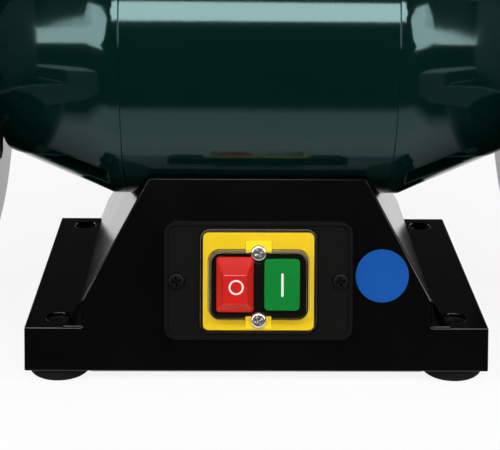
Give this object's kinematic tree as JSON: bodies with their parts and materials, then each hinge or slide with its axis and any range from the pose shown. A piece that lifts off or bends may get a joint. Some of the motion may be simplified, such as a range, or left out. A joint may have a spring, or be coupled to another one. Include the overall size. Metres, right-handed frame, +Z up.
{
  "type": "bench grinder",
  "caption": "Electric bench grinder: round motor on a sloped sheet-steel base with a start-stop switch, a guarded grinding wheel at each end, tool rests and clear eye shields.",
  "frame": {"origin": "centre of the four bench-bolt holes, on the bench under the rubber feet", "axes": "+X along the motor shaft to the right wheel, -Y towards the user and the switch, +Z up from the bench"},
  "size_m": [0.4254, 0.2665, 0.293],
  "materials": {
    "base_paint": "gloss black",
    "guard_paint": "gloss black",
    "motor_paint": "gloss dark blue-green",
    "foot_rubber": "matt",
    "plated_steel": "zinc plated",
    "shaft_steel": "ground",
    "bearing_steel": "polished",
    "core_steel": "laminated",
    "winding_copper": "enamelled wire",
    "coarse_abrasive": "coarse grit",
    "fine_abrasive": "fine grit",
    "blotter_paper": "card",
    "rest_cast": "cast",
    "black_plastic": "satin",
    "black_screw": "blackened",
    "bright_screw": "nickel plated",
    "yellow_plastic": "satin",
    "red_plastic": "satin",
    "green_plastic": "satin",
    "clear_plastic": "clear, soft",
    "shield_clear": "clear, polished",
    "capacitor_case": "smooth"
  },
  "bodies": {
    "base": {"base_pedestal": "base_paint", "motor_saddle": "base_paint", "wheel_guard_left": "guard_paint", "wheel_guard_right": "guard_paint", "guard_cover_left": "guard_paint", "guard_cover_right": "guard_paint", "motor_tube": "motor_paint", "end_bell_left": "motor_paint", "end_bell_right": "motor_paint", "foot_front_left": "foot_rubber", "foot_front_right": "foot_rubber", "foot_rear_left": "foot_rubber", "foot_rear_right": "foot_rubber", "bottom_plate": "plated_steel", "bottom_plate_screws": "plated_steel", "saddle_bolts": "plated_steel", "tie_bolts": "plated_steel", "guard_bolts": "plated_steel", "cover_screws": "plated_steel", "rest_bolts": "plated_steel", "spark_screws": "plated_steel", "shield_bracket_left": "plated_steel", "shield_bracket_right": "plated_steel", "shield_bolts": "plated_steel", "capacitor_clamp": "plated_steel", "wave_washer": "plated_steel", "bearing_outer_rings": "bearing_steel", "stator_core": "core_steel", "stator_windings": "winding_copper", "switch_bezel": "black_plastic", "switch_housing": "black_plastic", "cable_gland": "black_plastic", "gland_nut": "black_plastic", "bezel_screws": "black_screw", "plate_screws": "bright_screw", "switch_plate": "yellow_plastic", "dust_cover": "clear_plastic", "capacitor": "capacitor_case"},
    "rotor": {"rotor_core": "core_steel", "rotor_shaft": "shaft_steel", "bearing_inner_rings": "bearing_steel", "grinding_wheel_left": "coarse_abrasive", "grinding_wheel_right": "fine_abrasive", "inner_flanges": "plated_steel", "outer_flanges": "plated_steel", "wheel_blotters": "blotter_paper", "wheel_nuts": "plated_steel"},
    "ball_set_left": {"bearing_balls_left": "bearing_steel"},
    "ball_set_right": {"bearing_balls_right": "bearing_steel"},
    "stop_button": {"stop_button": "red_plastic"},
    "start_button": {"start_button": "green_plastic"},
    "tool_rest_left": {"tool_rest_left": "rest_cast"},
    "tool_rest_right": {"tool_rest_right": "rest_cast"},
    "rest_knob_left": {"rest_knob_left": "black_plastic"},
    "rest_knob_right": {"rest_knob_right": "black_plastic"},
    "spark_plate_left": {"spark_plate_left": "plated_steel"},
    "spark_plate_right": {"spark_plate_right": "plated_steel"},
    "eye_shield_left": {"eye_shield_left": "shield_clear"},
    "eye_shield_right": {"eye_shield_right": "shield_clear"}
  },
  "joints": [
    {"name": "rotor_spin", "type": "hinge", "parent": "base", "child": "rotor", "pos_m": [0, 0, 0.152], "axis": [1, 0, 0], "continuous": true},
    {"name": "ball_set_left_roll", "type": "hinge", "parent": "base", "child": "ball_set_left", "pos_m": [-0.12, 0, 0.152], "axis": [1, 0, 0], "continuous": true},
    {"name": "tool_rest_left_slide", "type": "slide", "parent": "base", "child": "tool_rest_left", "axis": [0, -1, 0], "range_m": [0, 0.02]},
    {"name": "rest_knob_left_turn", "type": "hinge", "parent": "base", "child": "rest_knob_left", "pos_m": [-0.139, -0.062, 0.122], "axis": [1, 0, 0], "continuous": true},
    {"name": "spark_plate_left_slide", "type": "slide", "parent": "base", "child": "spark_plate_left", "axis": [0, -0.5299, 0.848], "range_m": [-0.002, 0.006]},
    {"name": "eye_shield_left_swing", "type": "hinge", "parent": "base", "child": "eye_shield_left", "pos_m": [-0.166, -0.08, 0.284], "axis": [1, 0, 0], "range_deg": [-75, 15]},
    {"name": "ball_set_right_roll", "type": "hinge", "parent": "base", "child": "ball_set_right", "pos_m": [0.12, 0, 0.152], "axis": [1, 0, 0], "continuous": true},
    {"name": "tool_rest_right_slide", "type": "slide", "parent": "base", "child": "tool_rest_right", "axis": [0, -1, 0], "range_m": [0, 0.02]},
    {"name": "rest_knob_right_turn", "type": "hinge", "parent": "base", "child": "rest_knob_right", "pos_m": [0.139, -0.062, 0.122], "axis": [1, 0, 0], "continuous": true},
    {"name": "spark_plate_right_slide", "type": "slide", "parent": "base", "child": "spark_plate_right", "axis": [0, -0.5299, 0.848], "range_m": [-0.002, 0.006]},
    {"name": "eye_shield_right_swing", "type": "hinge", "parent": "base", "child": "eye_shield_right", "pos_m": [0.166, -0.08, 0.284], "axis": [1, 0, 0], "range_deg": [-75, 15]},
    {"name": "stop_press", "type": "slide", "parent": "base", "child": "stop_button", "axis": [0, 0.9553, -0.2955], "range_m": [0, 0.003], "stiffness_N_per_m": 900, "springref_m": -0.001},
    {"name": "start_press", "type": "slide", "parent": "base", "child": "start_button", "axis": [0, 0.9553, -0.2955], "range_m": [0, 0.003], "stiffness_N_per_m": 900, "springref_m": -0.001}
  ],
  "couplings": [
    {"joint": "ball_set_left_roll", "follows": "rotor_spin", "ratio": 0.38421},
    {"joint": "ball_set_right_roll", "follows": "rotor_spin", "ratio": 0.38421}
  ]
}
